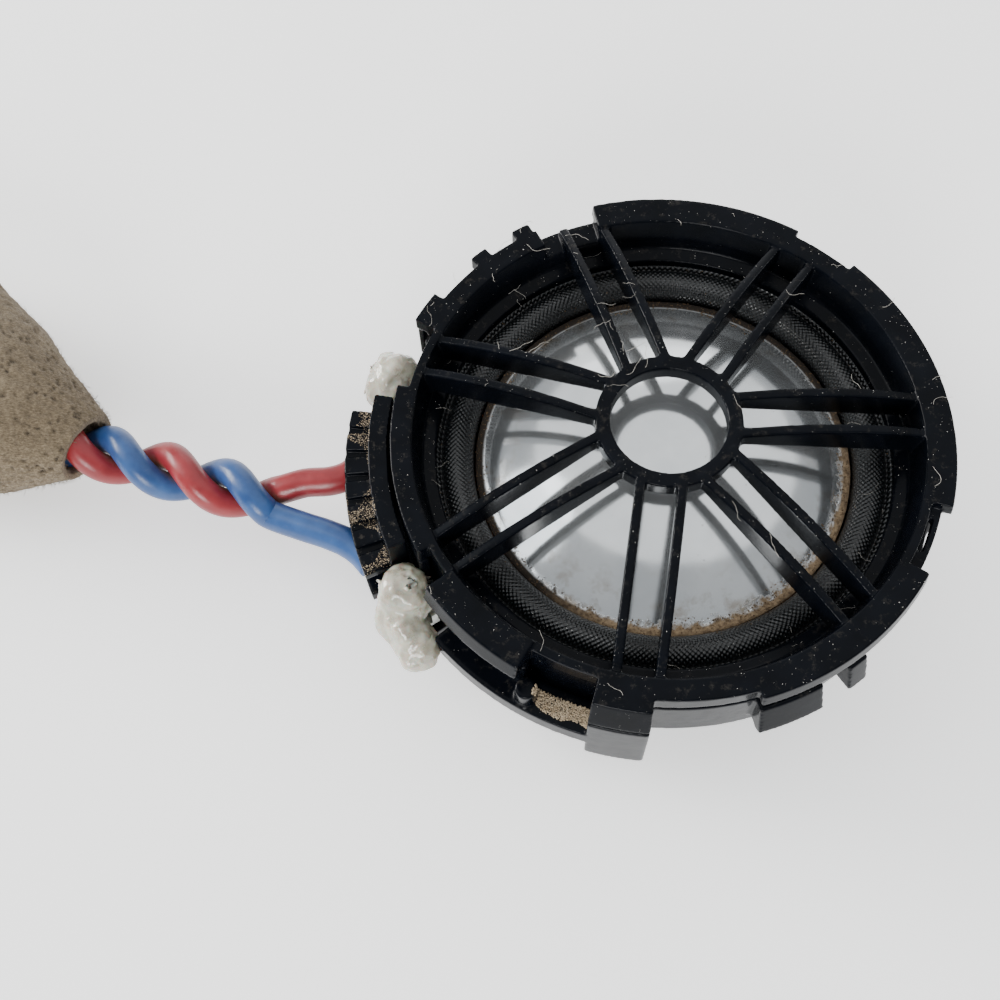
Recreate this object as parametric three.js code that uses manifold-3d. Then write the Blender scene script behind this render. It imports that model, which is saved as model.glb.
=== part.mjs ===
// Car tweeter: a 28 mm dome in a bayonet-mount plastic frame, with its twisted lead, felt wrap and plug.
// Millimetres, +Z up along the dome's axis. The origin is the centre of the flat rear face.
// The first pair of spokes lies on +X and the lead leaves towards -X.
import * as THREE from 'three';
import { mergeVertices } from 'three/addons/utils/BufferGeometryUtils.js';
import Module from 'manifold-3d';

const wasm = await Module();
wasm.setup();

// ---- driving dimensions ----
const GAP = 0.3;                 // clearance between pieces that touch on the real object
const RIM_TOP = 14;              // height of the front rim's top face over the rear face
const RIM_R = 21.3;              // outer radius of the rim and of the housing's wall
const RIM_IN_R = 19.66;          // inner radius of the rim at its top edge
const LUG_R = 22;                // outer radius of the bayonet lugs
const NOTCH_R = 20.2;            // outer radius of the grille's skirt, bare in the notches
const HUB_R = 5.6;
const HUB_HOLE_R = 4.45;
const HUB_TOP = 15.95;
const HUB_BOTTOM = 14.45;
const SPOKE_PAIRS = 7;
const SPOKE_OFFSET = 1.57;       // each spoke of a pair from the pair's centre line
const SPOKE_WIDTH = 0.75;
const DOME_R = 14.2;             // radius of the metal dome at its edge
const DOME_EDGE_Z = 9.2;
const DOME_RISE = 4;
const WIRE_D = 2.4;
const TWIST_PITCH = 10.4;        // one full turn of the twisted pair
const TWIST_R = 1.37;            // each wire's centre from the pair's axis
const FLANGE_R = 23.2;
const FLANGE_Z = [6.5, 8.5];
const CLAMP = [165.5, 199];      // angles of the wire clamp
const TERMINAL_ANGLES = [157, 208];
const TRAY_R = 25.2;
const TRAY_TOP = 5.4;
const TURN = Math.PI * 2;
const DEG = Math.PI / 180;
const STEP_DEG = 6;              // facet angle of the rim and the housing
const INNER_STEP_DEG = 9;        // facet angle of the rings inside them

// ---- materials ----
function finish(color, roughness, metalness) {
  return new THREE.MeshStandardMaterial({ color, roughness, metalness });
}

const BLACK_PLASTIC = finish(0x11151b, 0.25, 0);
const SILVER = finish(0xd3d5d4, 0.3, 0.8);
const TEXTILE = finish(0x15191c, 0.6, 0);
const STEEL = finish(0x8d9094, 0.35, 1);
const MAGNET = finish(0x6f7276, 0.3, 1);
const COPPER = finish(0xb56a3a, 0.35, 1);
const POLYIMIDE = finish(0x9a5a1e, 0.4, 0);
const FELT = finish(0x7b6e5b, 0.95, 0);
const DARK_FELT = finish(0x2b2c2e, 0.95, 0);
const TINNED = finish(0xb9bbb6, 0.3, 1);
const GLUE = finish(0xcfd0c4, 0.35, 0);
const RED_PVC = finish(0xc86468, 0.4, 0);
const BLUE_PVC = finish(0x6e92bd, 0.4, 0);
const CONNECTOR_PLASTIC = finish(0x2a2b2d, 0.5, 0);

const tweeter = new THREE.Group();

// ---- solids ----
// A closed geometry as a manifold solid, turned inside out first if its faces point inwards.
function solid(geometry) {
  const plain = geometry.clone();
  plain.deleteAttribute('normal');
  plain.deleteAttribute('uv');
  const merged = mergeVertices(plain, 1e-5);
  const position = merged.getAttribute('position');
  const index = merged.getIndex().array;
  if (signedVolume(position, index) < 0) {
    for (let i = 0; i < index.length; i += 3) {
      [index[i + 1], index[i + 2]] = [index[i + 2], index[i + 1]];
    }
  }
  const triVerts = [];
  for (let i = 0; i < index.length; i += 3) {
    const [a, b, c] = [index[i], index[i + 1], index[i + 2]];
    if (a !== b && b !== c && c !== a) triVerts.push(a, b, c);
  }
  return new wasm.Manifold(new wasm.Mesh({
    numProp: 3,
    vertProperties: Float32Array.from(position.array),
    triVerts: Uint32Array.from(triVerts),
  }));
}

function signedVolume(position, index) {
  const [a, b, c] = [new THREE.Vector3(), new THREE.Vector3(), new THREE.Vector3()];
  let volume = 0;
  for (let i = 0; i < index.length; i += 3) {
    a.fromBufferAttribute(position, index[i]);
    b.fromBufferAttribute(position, index[i + 1]);
    c.fromBufferAttribute(position, index[i + 2]);
    volume += a.dot(b.cross(c));
  }
  return volume;
}

const union = (solids) => solids.reduce((all, one) => all.add(one));
const cutAll = (body, cutters) => cutters.reduce((left, cutter) => left.subtract(cutter), body);

function addNode(name, body, material) {
  const { vertProperties, triVerts, numProp } = body.getMesh();
  const geometry = new THREE.BufferGeometry();
  const corners = new Float32Array(vertProperties.length / numProp * 3);
  for (let i = 0; i < corners.length / 3; i += 1) {
    corners.set(vertProperties.slice(i * numProp, i * numProp + 3), i * 3);
  }
  geometry.setAttribute('position', new THREE.BufferAttribute(corners, 3));
  geometry.setIndex(new THREE.BufferAttribute(triVerts, 1));
  const mesh = new THREE.Mesh(geometry, material);
  mesh.name = name;
  tweeter.add(mesh);
}

// A turned body about Z from a closed profile of [radius, height] points.
function turned(profile, stepDeg = STEP_DEG) {
  const closed = profile[0][0] === 0 ? profile : [...profile, profile[0]];
  const geometry = new THREE.LatheGeometry(closed.map(([r, z]) => new THREE.Vector2(r, z)), 360 / stepDeg);
  geometry.rotateX(Math.PI / 2);
  return solid(geometry);
}

const ring = (inner, outer, low, high, stepDeg = INNER_STEP_DEG) => turned(
  [[inner, low], [outer, low], [outer, high], [inner, high]], stepDeg);
const disc = (radius, low, high, stepDeg = INNER_STEP_DEG) => turned(
  [[0, low], [radius, low], [radius, high], [0, high]], stepDeg);

// A block between two radii, two angles in degrees and two heights.
function arcBlock(inner, outer, fromDeg, toDeg, low, high) {
  const steps = Math.max(1, Math.round((toDeg - fromDeg) / STEP_DEG));
  const angles = Array.from({ length: steps + 1 }, (_, i) => (fromDeg + (toDeg - fromDeg) * i / steps) * DEG);
  const at = (radius, angle) => new THREE.Vector2(radius * Math.cos(angle), radius * Math.sin(angle));
  const outline = [...angles.map((a) => at(outer, a)), ...angles.reverse().map((a) => at(inner, a))];
  const settings = { depth: high - low, bevelEnabled: false };
  const geometry = new THREE.ExtrudeGeometry(new THREE.Shape(outline), settings);
  geometry.translate(0, 0, low);
  return solid(geometry);
}

// A box given by its size and centre, then turned about Z.
function box(size, centre, turnDeg = 0) {
  const geometry = new THREE.BoxGeometry(...size);
  geometry.translate(...centre);
  geometry.rotateZ(turnDeg * DEG);
  return solid(geometry);
}

// A round tube of a few sides along a smooth curve.
function tube(points, radius, sides, steps) {
  const outline = Array.from({ length: sides }, (_, i) => new THREE.Vector2(
    radius * Math.cos(i * TURN / sides), radius * Math.sin(i * TURN / sides)));
  const corners = points.map((p) => new THREE.Vector3(...p));
  const extrudePath = new THREE.CatmullRomCurve3(corners, false, 'centripetal');
  const settings = { steps, bevelEnabled: false, extrudePath };
  return solid(new THREE.ExtrudeGeometry(new THREE.Shape(outline), settings));
}

// The point at a radius, an angle in degrees and a height.
function polar(radius, angleDeg, z) {
  return [radius * Math.cos(angleDeg * DEG), radius * Math.sin(angleDeg * DEG), z];
}

const SPOKE_ANGLES = Array.from({ length: SPOKE_PAIRS }, (_, k) => k * 360 / SPOKE_PAIRS);

// ---- front grille: rim with its skirt, lugs, nibs, twin spokes and hub in one moulding ----
const LUG_LOW = 12.6;
const RIM_LOW = 12.2;
const SKIRT_LOW = 10.1;
const LUGS = [[53.5, 99.5], [-21.5, 39.5], [-79, -36.6]];       // angles of the three long lugs
const NOTCHES = [[148, 164], [203.5, 210.5], [234.7, 249.3]];   // where the rim's outer part is cut away
const LOW_STRETCH = [99.6, 113.5];                              // where the rim is cut down to the skirt
const RECESS = [-36.6, -21.5];                                  // where the rim's outer part is sunk
const SLOT = [-32, -24];                                        // narrow slot through the rim
const LEG = [249.3, 260.6];                                     // the small lug and the leg below it
const SMALL_LUG_R = 23.2;

// One spoke's side outline, arched on top and deeper towards the rim.
function spoke(angleDeg, side, endR) {
  const STATIONS = 7;
  const startR = 4.85;
  const top = [];
  const bottom = [];
  for (let i = 0; i <= STATIONS; i += 1) {
    const r = startR + (endR - startR) * i / STATIONS;
    const along = Math.max(0, (r - HUB_R) / (RIM_IN_R - HUB_R));
    top.push(new THREE.Vector2(r, HUB_TOP + 0.1 - 2.35 * along ** 2.3));
    bottom.push(new THREE.Vector2(r, HUB_BOTTOM + 0.1 - 3.3 * along));
  }
  const outline = new THREE.Shape([...bottom, ...top.reverse()]);
  const geometry = new THREE.ExtrudeGeometry(outline, { depth: SPOKE_WIDTH, bevelEnabled: false });
  geometry.rotateX(Math.PI / 2);
  geometry.translate(0, side * SPOKE_OFFSET + SPOKE_WIDTH / 2, 0);
  geometry.rotateZ(angleDeg * DEG);
  return solid(geometry);
}

function frontGrille() {
  const rim = turned([
    [RIM_R, RIM_TOP], [RIM_IN_R, RIM_TOP], [19, 11.1], [17.9, 10.8], [17.9, SKIRT_LOW],
    [NOTCH_R, SKIRT_LOW], [NOTCH_R, RIM_LOW], [RIM_R, RIM_LOW]]);
  const notches = NOTCHES.map(([from, to]) => arcBlock(NOTCH_R, 24, from, to, 9, 15));
  const lowStretch = arcBlock(16, 24, ...LOW_STRETCH, RIM_LOW - 0.1, 15);
  const slot = arcBlock(20.35, 20.8, ...SLOT, 9, 15);
  const recess = arcBlock(20.35, 24, ...RECESS, RIM_TOP - 0.9, 15);
  const lugs = LUGS.map(([from, to]) => arcBlock(20.4, LUG_R, from, to, LUG_LOW, RIM_TOP));
  const raisedLug = arcBlock(NOTCH_R - 0.4, 22.4, 210.8, 234.5, LUG_LOW, RIM_TOP + 0.4);
  const smallLug = arcBlock(NOTCH_R, SMALL_LUG_R, ...LEG, RIM_LOW, RIM_TOP);
  const smallLugLip = arcBlock(RIM_R + GAP, SMALL_LUG_R, ...LEG, LEG_TOP + GAP, RIM_LOW + 0.1);
  const nibs = [[114.2, 118.4], [125.2, 129.2], [140.6, 148]].map(([from, to]) => arcBlock(
    20.8, 22.2, from, to, LUG_LOW, RIM_TOP));
  const nibWall = arcBlock(RIM_R + GAP, 22.2, 140.6, 147.6, 8.6, 13);
  const hub = ring(HUB_HOLE_R, HUB_R, HUB_BOTTOM, HUB_TOP);
  const spokes = SPOKE_ANGLES.flatMap((angle) => [-1, 1].map((side) => {
    const atLowStretch = angle > LOW_STRETCH[0] && angle < LOW_STRETCH[1] && side > 0;
    return spoke(angle, side, atLowStretch ? 20.9 : 19.9).subtract(ring(NOTCH_R, 24, 9, RIM_LOW));
  }));
  const body = cutAll(rim, [...notches, lowStretch, slot, recess]);
  return union([body, ...lugs, raisedLug, smallLug, smallLugLip, ...nibs, nibWall, hub, ...spokes]);
}

// ---- rear housing: wall, seat and motor collar, with its flange, clips and wire tray ----
const WALL_IN_R = 20.5;
const WALL_TOP = RIM_LOW - GAP;
const WALL_LOW = 6.7;
const SEAT_Z = 8.3;
const COLLAR_R = 17.1;
const TRAY_LOW = 4;
const LEG_TOP = 11.3;
const FLANGE_FROM = 215;         // angle at which the flange starts, beside the lower glue
const POST_ANGLE = 236.2;
const POST_R = 0.75;
const POST_LENGTH = 2.4;
const WALL_WINDOWS = [[149, 163.5], [203.7, 210.5], [234.7, 249.3]];

function rearHousing() {
  const shell = turned([
    [RIM_R, WALL_TOP], [WALL_IN_R, WALL_TOP], [WALL_IN_R, SEAT_Z], [COLLAR_R, SEAT_Z], [COLLAR_R, 3],
    [18.2, 3], [18.2, 7], [WALL_IN_R, 7], [WALL_IN_R, WALL_LOW], [RIM_R, WALL_LOW]]);
  const windows = WALL_WINDOWS.map(([from, to]) => arcBlock(
    WALL_IN_R - 0.2, 24, from, to, FLANGE_Z[1], 13));
  const sideWindow = arcBlock(WALL_IN_R - 0.2, 24, SLOT[0] - 2, SLOT[1] + 2, FLANGE_Z[1], 13);
  const leadGrooves = TERMINAL_ANGLES.map((angle) => box([7, 1.2, 3], [20, 0, SEAT_Z + 0.7], angle));
  const flange = arcBlock(21, FLANGE_R, FLANGE_FROM, LEG[0] + 0.5, ...FLANGE_Z);
  const post = solid(new THREE.CylinderGeometry(POST_R, POST_R, POST_LENGTH, 12).rotateX(Math.PI / 2)
    .translate(...polar(22.1, POST_ANGLE, FLANGE_Z[1] + POST_LENGTH / 2 - GAP)));
  const leg = arcBlock(21, SMALL_LUG_R, ...LEG, TRAY_LOW, LEG_TOP);
  const legNeck = arcBlock(17.6, 21.2, ...LEG, 5.6, 7.2);
  const clip = arcBlock(21, 23.1, -79, -66, 8.4, WALL_TOP);
  const smallClip = arcBlock(21, 23, -60, -55.5, 8.8, WALL_TOP);
  const tray = arcBlock(17.8, TRAY_R, CLAMP[0] - 1.5, CLAMP[1], TRAY_LOW, TRAY_TOP);
  const ledges = arcBlock(17.8, 24.2, TERMINAL_ANGLES[0] - 5, TERMINAL_ANGLES[1] + 4, TRAY_LOW, TRAY_TOP);
  const body = cutAll(shell, [...windows, sideWindow, ...leadGrooves]);
  return union([body, flange, post, leg, legNeck, clip, smallClip, tray, ledges]);
}

// ---- wire clamp: raised band and ribbed strip that hold the two wires down on the tray ----
function wireClamp() {
  const STRIP_R = 25.3;
  const STRIP_Z = [8.6, 9.6];
  const FOOT_DEG = 1.7;
  const RIBS = 7;
  const RIB_HALF_DEG = 1.5;
  const RIB_Z = [9.4, 9.95];
  const band = arcBlock(RIM_R + GAP, 23.1, ...CLAMP, 9.2, 12.9);
  const strip = arcBlock(22.6, STRIP_R, ...CLAMP, ...STRIP_Z);
  const feet = [CLAMP[0], CLAMP[1] - FOOT_DEG].map((from) => arcBlock(
    RIM_R + GAP, 22.05, from, from + FOOT_DEG, TRAY_TOP + GAP, 9.4));
  const firstRib = CLAMP[0] + 2;
  const lastRib = CLAMP[1] - 2;
  const ribs = Array.from({ length: RIBS }, (_, i) => {
    const middle = firstRib + i * (lastRib - firstRib) / (RIBS - 1);
    return arcBlock(23, STRIP_R, middle - RIB_HALF_DEG, middle + RIB_HALF_DEG, ...RIB_Z);
  });
  return union([band, strip, ...feet, ...ribs]);
}

// ---- moving system: dome, former and coil, hung on the textile surround ----
const SPHERE_R = (DOME_R ** 2 + DOME_RISE ** 2) / (2 * DOME_RISE);
const DOME_THICK = 0.25;
const domeZ = (r) => DOME_EDGE_Z + DOME_RISE - SPHERE_R + Math.sqrt(SPHERE_R ** 2 - r ** 2);

function domeDiaphragm() {
  const STATIONS = 5;
  const outside = Array.from({ length: STATIONS + 1 }, (_, i) => DOME_R * i / STATIONS);
  const upper = outside.map((r) => [r, domeZ(r)]);
  const lower = outside.map((r) => [r, domeZ(r) - DOME_THICK]).reverse();
  const lip = [[14.9, DOME_EDGE_Z], [14.9, DOME_EDGE_Z - DOME_THICK]];
  return turned([...upper, ...lip, ...lower], INNER_STEP_DEG);
}

function surround() {
  const CREST_R = 16.4;
  const ROLL = 1.15;
  const THICK = 0.25;
  const ARC_STEPS = 5;
  const arc = (radius) => Array.from({ length: ARC_STEPS + 1 }, (_, i) => {
    const angle = Math.PI * (1 - i / ARC_STEPS);
    return [CREST_R + radius * Math.cos(angle), DOME_EDGE_Z + 0.15 + radius * Math.sin(angle)];
  });
  const top = [...arc(ROLL), [18, 9.75], [20, 9.75]];
  const bottom = [[20, 9.5], [17.85, 9.5], [17.4, 9.2], ...arc(ROLL - THICK).reverse()];
  return turned([...top, ...bottom], INNER_STEP_DEG);
}

// ---- motor ----
const POLE_R = 13.4;
const FORMER = [13.72, 13.92];
const COIL = [14.24, 14.6];
const YOKE_R = 16.8;
const YOKE_TOP = 7.2;

function yokeCup() {
  const YOKE_IN_R = 15;
  const FLOOR = 1.6;
  const outside = [[0, 0], [YOKE_R, 0], [YOKE_R, YOKE_TOP]];
  const inside = [[YOKE_IN_R, YOKE_TOP], [YOKE_IN_R, FLOOR], [0, FLOOR]];
  return turned([...outside, ...inside], INNER_STEP_DEG);
}

// ---- terminals, solder and hot-melt glue ----
const TERMINAL_Z = [6.1, 6.6];

function terminal(angle) {
  const WIDTH = 2.2;
  const [low, high] = TERMINAL_Z;
  const blade = box([2.7, WIDTH, high - low], [22.9, 0, (low + high) / 2], angle);
  const ear = box([0.5, WIDTH, 1.6], [21.9, 0, 7.1], angle);
  return blade.add(ear);
}

function solderDome(angle) {
  const geometry = new THREE.SphereGeometry(1, 12, 8);
  geometry.scale(0.95, 0.95, 0.7);
  geometry.translate(...polar(23.5, angle, TERMINAL_Z[1] + GAP + 0.7));
  return solid(geometry);
}

// Lumps of each blob: radius, turn from the terminal, height, and half sizes outwards, across and up.
const UPPER_LUMPS = [[22.9, 0, 8.6, 2.3, 2.5, 2.9], [23.6, -1.5, 8, 1.9, 2.3, 2.2]];
const LOWER_LUMPS = [[22.9, 0, 8.8, 2.3, 2.6, 2.8], [23.8, 3, 8, 2, 2.3, 2.4], [24.1, 6, 7.4, 1.9, 2.1, 1.7]];

// A lumpy blob of glue over a terminal, hollowed so that it clears the terminal, solder and lead.
// It fills the wall's window as far as the grille's skirt and stays clear of the wall on either side.
function glueBlob(angle, lumps, [windowFrom, windowTo]) {
  const blobs = lumps.map(([r, turn, z, a, b, c]) => {
    const geometry = new THREE.SphereGeometry(1, 12, 8);
    geometry.scale(a, b, c);
    geometry.rotateZ((angle + turn) * DEG);
    geometry.translate(...polar(r, angle + turn, z));
    return solid(geometry);
  });
  const overTerminal = box([3.9, 2.9, 3.2], [23.2, 0, 7], angle);
  const wallR = RIM_R + GAP;
  const neighbours = [
    ring(10, NOTCH_R + GAP, 3, 14), ring(10, wallR, 3, FLANGE_Z[1] + GAP),
    arcBlock(15, wallR, windowFrom - 20, windowFrom + 0.8, 3, 14),
    arcBlock(15, wallR, windowTo - 0.8, windowTo + 20, 3, 14),
    arcBlock(15, 30, CLAMP[0] - 0.9, CLAMP[1] + 0.9, 2, 14), arcBlock(15, 30, 210, 235, LUG_LOW - GAP, 15),
    arcBlock(15, FLANGE_R + GAP, FLANGE_FROM - 0.8, 240, 2, FLANGE_Z[1] + GAP),
    arcBlock(15, 30, 140, 235, 2, TRAY_TOP + GAP)];
  return cutAll(union(blobs), [overTerminal, ...neighbours]);
}

function coilLead(angle) {
  const LEAD_R = 0.15;
  const stations = [[14.95, 7.75], [17, 7.85], [19, 8.05], [21.2, 8.15]];
  return tube(stations.map(([r, z]) => polar(r, angle, z)), LEAD_R, 6, 8);
}

// ---- twisted lead ----
// The pair's axis is a straight line; distance is counted from the felt towards the tweeter.
const PAIR_POINT = new THREE.Vector3(-38.4, 2.85, 6.5);
const PAIR_DIR = new THREE.Vector3(0.93, -0.367, 0).normalize();
const PAIR_SIDE = new THREE.Vector3(-PAIR_DIR.y, PAIR_DIR.x, 0);
const TWIST_START = -3.25 * TWIST_PITCH;   // inside the felt wrap, behind the plug
const TWIST_END = 0.75 * TWIST_PITCH;

const onPair = (along, sideways, up) => PAIR_POINT.clone().addScaledVector(PAIR_DIR, along)
  .addScaledVector(PAIR_SIDE, sideways).setZ(PAIR_POINT.z + up);

// Points along one wire: the plug end, the helix and the hand-laid run to the terminal.
function wirePoints(phase, plugSide, run) {
  const POINTS_PER_TURN = 12;
  const count = Math.round((TWIST_END - TWIST_START) / TWIST_PITCH * POINTS_PER_TURN);
  const points = [
    onPair(-44.5, plugSide, 0), onPair(-42.3, plugSide, 0), onPair(-38, Math.sign(plugSide) * TWIST_R, 0)];
  for (let i = 0; i <= count; i += 1) {
    const along = TWIST_START + (TWIST_END - TWIST_START) * i / count;
    const angle = phase + TURN * along / TWIST_PITCH;
    points.push(onPair(along, TWIST_R * Math.cos(angle), TWIST_R * Math.sin(angle)));
  }
  return [...points.map((p) => p.toArray()), ...run];
}

const RED_RUN = [
  [-28.8, 1.4, 6.8], [-26.8, 1.3, 7], [-25.3, 1.7, 7], [-24.2, 2.6, 7], [-23.5, 3.8, 7], [-23.2, 5, 7]];
const BLUE_RUN = [
  [-29.1, -2.4, 6.7], [-27.2, -3.3, 6.9], [-25.6, -4.2, 7], [-24.4, -5.2, 7], [-23.5, -6.4, 7]];

function wire(phase, plugSide, run) {
  const STEPS = 78;
  return tube(wirePoints(phase, plugSide, run), WIRE_D / 2, 8, STEPS);
}

// ---- felt wrap and plug, both along the pair's axis ----
// Stations: distance along the axis, offset sideways, half width, half height and height of the centre.
const FELT_STATIONS = [
  [-8.4, 0, 3.3, 3.2, 6.5], [-10.5, 0.2, 4.1, 3.9, 6.4], [-13.5, 0.5, 5.8, 5.2, 6.35],
  [-17, 1.1, 8, 6, 6.3], [-24, 2.6, 10.4, 6.2, 6.3], [-34, 3, 11.2, 6.2, 6.3],
  [-42, 2.5, 10.8, 6.2, 6.3], [-50, 1.4, 9.6, 5.8, 6.3]];

// A closed loft through rings of equal point count, with flat ends.
function loft(rings) {
  const count = rings[0].length;
  const positions = rings.flat().flatMap((p) => p.toArray());
  const index = [];
  for (let i = 0; i < rings.length - 1; i += 1) {
    for (let j = 0; j < count; j += 1) {
      const [a, b] = [i * count + j, i * count + (j + 1) % count];
      index.push(a, b, a + count, b, b + count, a + count);
    }
  }
  const last = (rings.length - 1) * count;
  for (let j = 1; j < count - 1; j += 1) {
    index.push(0, j + 1, j, last, last + j, last + j + 1);
  }
  const geometry = new THREE.BufferGeometry();
  geometry.setAttribute('position', new THREE.Float32BufferAttribute(positions, 3));
  geometry.setIndex(index);
  return solid(geometry);
}

function feltRing([along, sideways, halfWidth, halfHeight, centreZ]) {
  const SIDES = 20;
  return Array.from({ length: SIDES }, (_, j) => {
    const angle = j * TURN / SIDES;
    const up = centreZ - PAIR_POINT.z + halfHeight * Math.sin(angle);
    return onPair(along, sideways + halfWidth * Math.cos(angle), up);
  });
}

// A box whose long side follows the pair's axis.
function pairBox(from, to, width, low, high, sideways = 0) {
  const geometry = new THREE.BoxGeometry(Math.abs(to - from), width, high - low);
  geometry.rotateZ(Math.atan2(PAIR_DIR.y, PAIR_DIR.x));
  const centre = onPair((from + to) / 2, sideways, (low + high) / 2 - PAIR_POINT.z);
  geometry.translate(...centre.toArray());
  return solid(geometry);
}

const PLUG = { front: -59, back: -45, width: 9.6, low: 3.4, high: 9.6, contactOffset: 2.2 };

function feltWrap() {
  const outside = loft(FELT_STATIONS.map(feltRing));
  const channelRadius = TWIST_R + WIRE_D / 2 + GAP;
  const channel = loft([-5, PLUG.back - 1].map(
    (along) => feltRing([along, 0, channelRadius, channelRadius, PAIR_POINT.z])));
  const POCKET_DEPTH = 6.5;
  const RAMP_ROOM = 1;
  const pocket = pairBox(
    PLUG.back + POCKET_DEPTH, PLUG.front, PLUG.width + 2 * GAP, PLUG.low - GAP, PLUG.high + GAP + RAMP_ROOM);
  return cutAll(outside, [channel, pocket]);
}

function connectorHousing() {
  const CAVITY_WIDTH = 2.9;
  const CAVITY = [4.7, 8.1];
  const shell = pairBox(PLUG.front, PLUG.back, PLUG.width, PLUG.low, PLUG.high);
  const ramp = pairBox(PLUG.front + 3, PLUG.front + 7, 3, PLUG.high - 0.1, PLUG.high + 0.9);
  const cavities = [-1, 1].map((side) => pairBox(
    PLUG.front - 1, PLUG.back + 1, CAVITY_WIDTH, ...CAVITY, side * PLUG.contactOffset));
  return cutAll(shell.add(ramp), cavities);
}

function contact(side) {
  const WIDTH = 1.9;
  const [low, high] = [5.4, 7.4];
  return pairBox(PLUG.front + 1.5, PLUG.back - 2.4, WIDTH, low, high, side * PLUG.contactOffset);
}

// ---- assembly ----
addNode('front_grille', frontGrille(), BLACK_PLASTIC);
addNode('rear_housing', rearHousing(), BLACK_PLASTIC);
addNode('wire_clamp', wireClamp(), BLACK_PLASTIC);
addNode('dome_diaphragm', domeDiaphragm(), SILVER);
addNode('surround', surround(), TEXTILE);
addNode('surround_frame', ring(17.4, 20, SEAT_Z + GAP, 9.2), CONNECTOR_PLASTIC);
addNode('voice_coil_former', ring(...FORMER, 4.9, 8.65), POLYIMIDE);
addNode('voice_coil', ring(...COIL, 5.3, 7.1), COPPER);
addNode('damping_felt', disc(11, YOKE_TOP + GAP, 8.7), DARK_FELT);
addNode('pole_plate', disc(POLE_R, 5.2, YOKE_TOP), STEEL);
addNode('magnet', disc(12.6, 1.9, 4.9), MAGNET);
addNode('yoke_cup', yokeCup(), STEEL);
const [POSITIVE_ANGLE, NEGATIVE_ANGLE] = TERMINAL_ANGLES;
addNode('terminal_positive', terminal(POSITIVE_ANGLE), TINNED);
addNode('terminal_negative', terminal(NEGATIVE_ANGLE), TINNED);
addNode('solder_positive', solderDome(POSITIVE_ANGLE), TINNED);
addNode('solder_negative', solderDome(NEGATIVE_ANGLE), TINNED);
addNode('coil_lead_positive', coilLead(POSITIVE_ANGLE), COPPER);
addNode('coil_lead_negative', coilLead(NEGATIVE_ANGLE), COPPER);
addNode('glue_positive', glueBlob(POSITIVE_ANGLE, UPPER_LUMPS, WALL_WINDOWS[0]), GLUE);
addNode('glue_negative', glueBlob(NEGATIVE_ANGLE, LOWER_LUMPS, WALL_WINDOWS[1]), GLUE);
addNode('wire_red', wire(Math.PI / 2, PLUG.contactOffset, RED_RUN), RED_PVC);
addNode('wire_blue', wire(-Math.PI / 2, -PLUG.contactOffset, BLUE_RUN), BLUE_PVC);
addNode('felt_wrap', feltWrap(), FELT);
addNode('connector_housing', connectorHousing(), CONNECTOR_PLASTIC);
addNode('contact_positive', contact(1), TINNED);
addNode('contact_negative', contact(-1), TINNED);

export default tweeter;
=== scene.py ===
import math
import random

import bmesh
import bpy
import numpy as np
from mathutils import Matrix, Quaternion, Vector, noise


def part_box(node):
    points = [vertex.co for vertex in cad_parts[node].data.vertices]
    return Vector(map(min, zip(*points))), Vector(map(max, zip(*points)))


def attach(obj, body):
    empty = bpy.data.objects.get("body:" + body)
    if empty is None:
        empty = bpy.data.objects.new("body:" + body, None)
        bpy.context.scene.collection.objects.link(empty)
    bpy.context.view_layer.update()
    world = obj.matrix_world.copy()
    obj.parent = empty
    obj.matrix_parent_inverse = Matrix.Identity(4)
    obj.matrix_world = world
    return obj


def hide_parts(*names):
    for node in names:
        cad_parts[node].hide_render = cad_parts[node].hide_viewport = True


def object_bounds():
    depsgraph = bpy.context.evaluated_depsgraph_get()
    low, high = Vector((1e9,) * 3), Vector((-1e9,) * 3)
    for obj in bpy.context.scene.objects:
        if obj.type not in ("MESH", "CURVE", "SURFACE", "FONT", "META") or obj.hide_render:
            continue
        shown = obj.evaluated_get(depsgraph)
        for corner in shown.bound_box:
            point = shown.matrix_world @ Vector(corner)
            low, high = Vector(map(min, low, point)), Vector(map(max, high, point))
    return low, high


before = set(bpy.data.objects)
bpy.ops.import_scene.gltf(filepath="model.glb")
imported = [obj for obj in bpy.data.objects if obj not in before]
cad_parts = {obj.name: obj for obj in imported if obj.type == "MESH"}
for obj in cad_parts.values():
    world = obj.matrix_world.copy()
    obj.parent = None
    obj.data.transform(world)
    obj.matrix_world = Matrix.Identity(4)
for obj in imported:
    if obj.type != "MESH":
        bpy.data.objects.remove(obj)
CAD_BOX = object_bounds()

# ---- driving dimensions, in millimetres ----
MM = 0.001


def span(node):
    """A round node's outer radius, lowest and highest height, in millimetres."""
    low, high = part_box(node)
    return (high.x - low.x) / 2 / MM, low.z / MM, high.z / MM


SPOKE_PROUD = 0.1                                   # the spokes' backs stand over the hub
HUB_TOP = span("front_grille")[2] - SPOKE_PROUD
RIM_TOP = HUB_TOP - 1.95
RIM_LOW = RIM_TOP - 1.8
SKIRT_LOW = span("front_grille")[1]
RIM_R = 21.3
RIM_IN_R = 19.66
LUG_R = RIM_R + 0.7
NOTCH_R = 20.2
HUB_R = 5.6
HUB_HOLE_R = 4.45
SPOKE_PAIRS = 7
SPOKE_OFFSET = 1.57
SPOKE_HALF = 0.37
LIP_R, LIP_LOW, DOME_TOP = span("dome_diaphragm")
DOME_R = LIP_R - 0.7
DOME_RISE = 4
DOME_EDGE = DOME_TOP - DOME_RISE
WIRE_D = 2.4
TWIST_PITCH = 10.4
TWIST_R = 1.23
THREAD_PITCH = 0.42                                 # of the surround's cloth
FLANGE_TOP = 8.5
TRAY_LOW, TRAY_TOP = 4, 5.4
CLAMP = (165.5, 199)                                # angles of the wire clamp
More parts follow.
